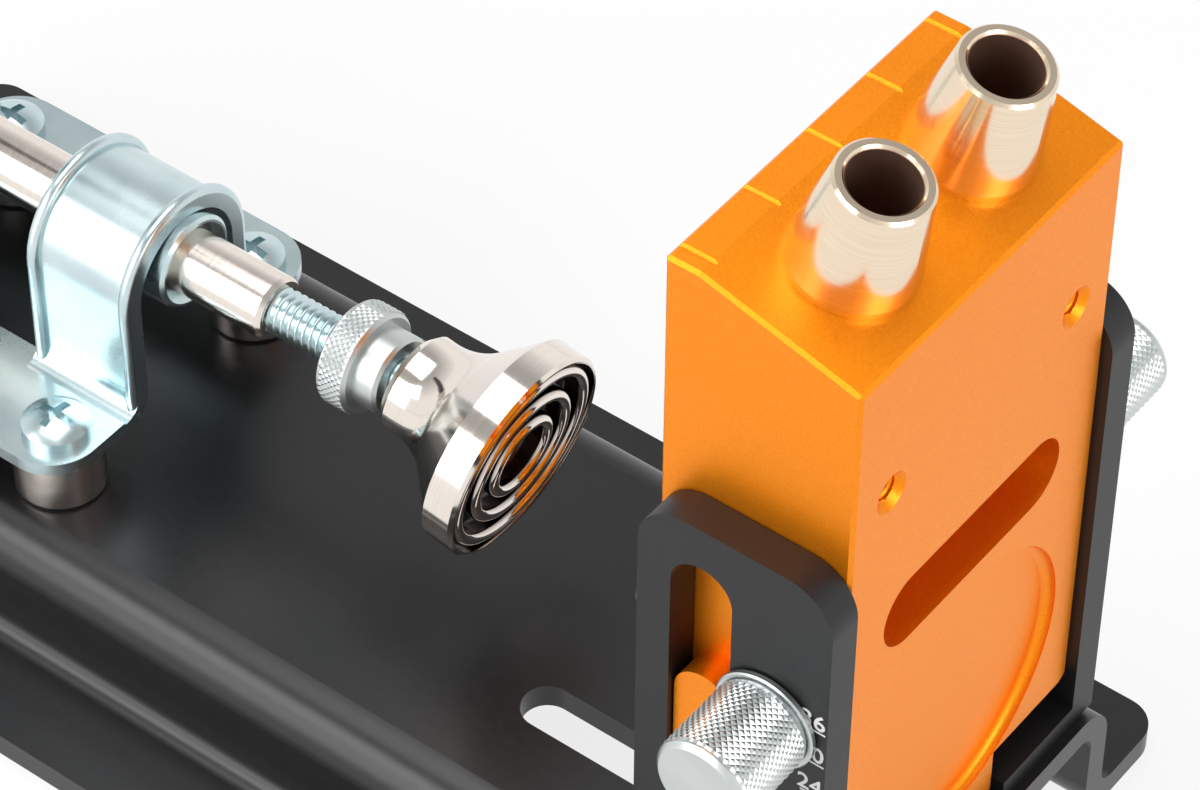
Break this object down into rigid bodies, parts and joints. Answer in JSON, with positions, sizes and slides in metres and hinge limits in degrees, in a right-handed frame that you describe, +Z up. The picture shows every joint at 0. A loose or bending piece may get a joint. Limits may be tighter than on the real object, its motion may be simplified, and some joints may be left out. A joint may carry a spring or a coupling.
{
  "type": "pocket hole jig",
  "caption": "Bench pocket hole jig with a height-set orange guide block between black uprights and a push-pull toggle clamp.",
  "frame": {"origin": "bottom centre of the base, on the bench", "axes": "+X along the base towards the drill side of the guide block, +Y across the base, +Z up"},
  "size_m": [0.222, 0.103, 0.1867],
  "materials": {
    "base_black": "satin",
    "upright_black": "satin",
    "screw_black": "satin",
    "block_orange": "satin",
    "bush_nickel": "polished",
    "thumb_zinc": "satin",
    "standoff_nickel": "satin",
    "frame_zinc": "satin",
    "fastener_zinc": "satin",
    "sleeve_zinc": "satin",
    "plunger_nickel": "polished",
    "stud_zinc": "satin",
    "pad_nickel": "polished",
    "grip_plastic": "matte"
  },
  "bodies": {
    "base": {"base_plate": "base_black", "upright_near": "upright_black", "upright_far": "upright_black", "upright_screws": "screw_black", "clamp_standoffs": "standoff_nickel", "clamp_frame": "frame_zinc", "clamp_screws": "fastener_zinc", "clamp_nuts": "fastener_zinc", "plunger_sleeve": "sleeve_zinc", "handle_pivot_pin": "fastener_zinc"},
    "guide": {"guide_block": "block_orange", "drill_bush_near": "bush_nickel", "drill_bush_far": "bush_nickel"},
    "thumb_near": {"thumbscrew_near": "thumb_zinc"},
    "thumb_far": {"thumbscrew_far": "thumb_zinc"},
    "handle": {"handle_lever": "frame_zinc", "handle_grip": "grip_plastic", "crank_pin": "fastener_zinc"},
    "links": {"link_near": "frame_zinc", "link_far": "frame_zinc", "link_pin": "fastener_zinc"},
    "plunger_body": {"plunger": "plunger_nickel"},
    "spindle": {"pad_stud": "stud_zinc"},
    "nut": {"thumb_nut": "stud_zinc"},
    "pad": {"clamp_pad": "pad_nickel"}
  },
  "joints": [
    {"name": "guide_height", "type": "slide", "parent": "base", "child": "guide", "axis": [0, 0, 1], "range_m": [-0.002, 0.02]},
    {"name": "thumb_near_turn", "type": "hinge", "parent": "base", "child": "thumb_near", "pos_m": [0.1007, -0.03295, 0.0748], "axis": [0, -1, 0], "continuous": true},
    {"name": "thumb_far_turn", "type": "hinge", "parent": "base", "child": "thumb_far", "pos_m": [0.1007, 0.03295, 0.0748], "axis": [0, 1, 0], "continuous": true},
    {"name": "handle_swing", "type": "hinge", "parent": "base", "child": "handle", "pos_m": [-0.0915, 0, 0.0547], "axis": [0, -1, 0], "range_deg": [0, 60]},
    {"name": "link_swing", "type": "hinge", "parent": "handle", "child": "links", "pos_m": [-0.0815, 0, 0.03738], "axis": [0, -1, 0], "range_deg": [-120, 0]},
    {"name": "plunger_slide", "type": "slide", "parent": "base", "child": "plunger_body", "axis": [1, 0, 0], "range_m": [0, 0.02]},
    {"name": "spindle_adjust", "type": "slide", "parent": "plunger_body", "child": "spindle", "axis": [1, 0, 0], "range_m": [-0.009, 0.01]},
    {"name": "nut_turn", "type": "hinge", "parent": "spindle", "child": "nut", "pos_m": [0.0115, 0, 0.0547], "axis": [1, 0, 0], "continuous": true},
    {"name": "pad_tilt", "type": "hinge", "parent": "spindle", "child": "pad", "pos_m": [0.0227, 0, 0.0547], "axis": [0, -1, 0], "range_deg": [-2, 20]}
  ],
  "couplings": [
    {"joint": "link_swing", "follows": "handle_swing", "ratio": -2},
    {"joint": "plunger_slide", "follows": "handle_swing", "m_per_rad": 0.019099}
  ]
}
